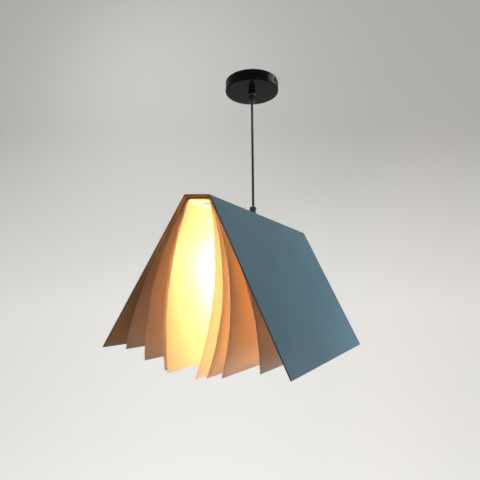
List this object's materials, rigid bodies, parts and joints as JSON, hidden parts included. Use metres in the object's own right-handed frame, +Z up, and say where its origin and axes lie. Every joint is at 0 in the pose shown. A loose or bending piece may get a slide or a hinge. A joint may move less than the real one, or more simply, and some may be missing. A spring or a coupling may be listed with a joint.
{
  "type": "pendant light",
  "caption": "Pendant light: an open book hangs spine up from a cord as the shade, with translucent page sheets round a frosted bulb, a folded metal cover and a round ceiling canopy.",
  "frame": {"origin": "centre of the ceiling bracket's upper face, in the ceiling plane on the cord's axis", "axes": "+Z up into the ceiling, Y along the book's spine, X across the book, +X the right side in the picture"},
  "size_m": [0.2983, 0.395, 0.5091],
  "materials": {
    "zinc_steel": "satin",
    "gloss_black": "gloss",
    "black_plastic": "satin",
    "black_moulding": "gloss",
    "bright_chrome": "polished",
    "white_plastic": "matte",
    "white_paint": "satin",
    "brass": "satin",
    "wire_plastic": "satin",
    "cord_rubber": "satin",
    "blue_paint": "satin",
    "lining_paper": "matte",
    "page_plastic": "matte",
    "porcelain": "gloss",
    "bulb_aluminium": "satin",
    "bulb_ceramic": "gloss",
    "bulb_white": "satin",
    "bulb_glass": "matte"
  },
  "bodies": {
    "ceiling": {"ceiling_bracket": "zinc_steel", "canopy": "gloss_black", "canopy_nipple": "zinc_steel", "canopy_locknut": "zinc_steel", "canopy_grip": "black_plastic", "canopy_grip_screw": "black_plastic", "terminal_block": "white_plastic", "terminal_brass": "brass", "canopy_wires": "wire_plastic"},
    "screw_left": {"side_screw_left": "bright_chrome"},
    "screw_right": {"side_screw_right": "bright_chrome"},
    "held_cord": {"cord_in_canopy": "cord_rubber"},
    "cord": {"cord": "cord_rubber"},
    "shade": {"spine_grip": "black_plastic", "spine_grip_screw": "black_plastic", "spine_nipple": "zinc_steel", "spine_locknut": "zinc_steel", "cover": "blue_paint", "cover_lining": "lining_paper", "spine_bar": "zinc_steel", "clamp_bar": "white_paint", "page_screws": "white_plastic", "page_sheet_1": "page_plastic", "page_sheet_2": "page_plastic", "page_sheet_3": "page_plastic", "page_sheet_4": "page_plastic", "cord_in_spine": "cord_rubber", "holder_wires": "wire_plastic", "holder_cap": "black_moulding", "holder_shell": "black_moulding", "holder_insert": "porcelain", "holder_contacts": "brass"},
    "bulb": {"bulb_cap": "bulb_aluminium", "bulb_insulator": "bulb_ceramic", "bulb_tip": "brass", "bulb_collar": "bulb_white", "bulb_globe": "bulb_glass"}
  },
  "joints": [
    {"name": "shade_turn", "type": "hinge", "parent": "ceiling", "child": "held_cord", "pos_m": [0, 0, -0.04], "axis": [0, 0, 1], "range_deg": [-180, 180]},
    {"name": "cord_swing", "type": "hinge", "parent": "held_cord", "child": "cord", "pos_m": [0, 0, -0.04245], "axis": [0, 1, 0], "range_deg": [-12, 12]},
    {"name": "shade_nod", "type": "hinge", "parent": "cord", "child": "shade", "pos_m": [0, 0, -0.23655], "axis": [1, 0, 0], "range_deg": [-12, 12]},
    {"name": "bulb_turn", "type": "hinge", "parent": "shade", "child": "bulb", "pos_m": [-0.01178, 0, -0.33931], "axis": [-0.1167, 0, -0.9932], "range_deg": [0, 900]},
    {"name": "screw_left_turn", "type": "hinge", "parent": "ceiling", "child": "screw_left", "pos_m": [-0.05, 0, -0.0055], "axis": [-1, 0, 0], "range_deg": [0, 1080]},
    {"name": "screw_right_turn", "type": "hinge", "parent": "ceiling", "child": "screw_right", "pos_m": [0.05, 0, -0.0055], "axis": [1, 0, 0], "range_deg": [0, 1080]}
  ]
}
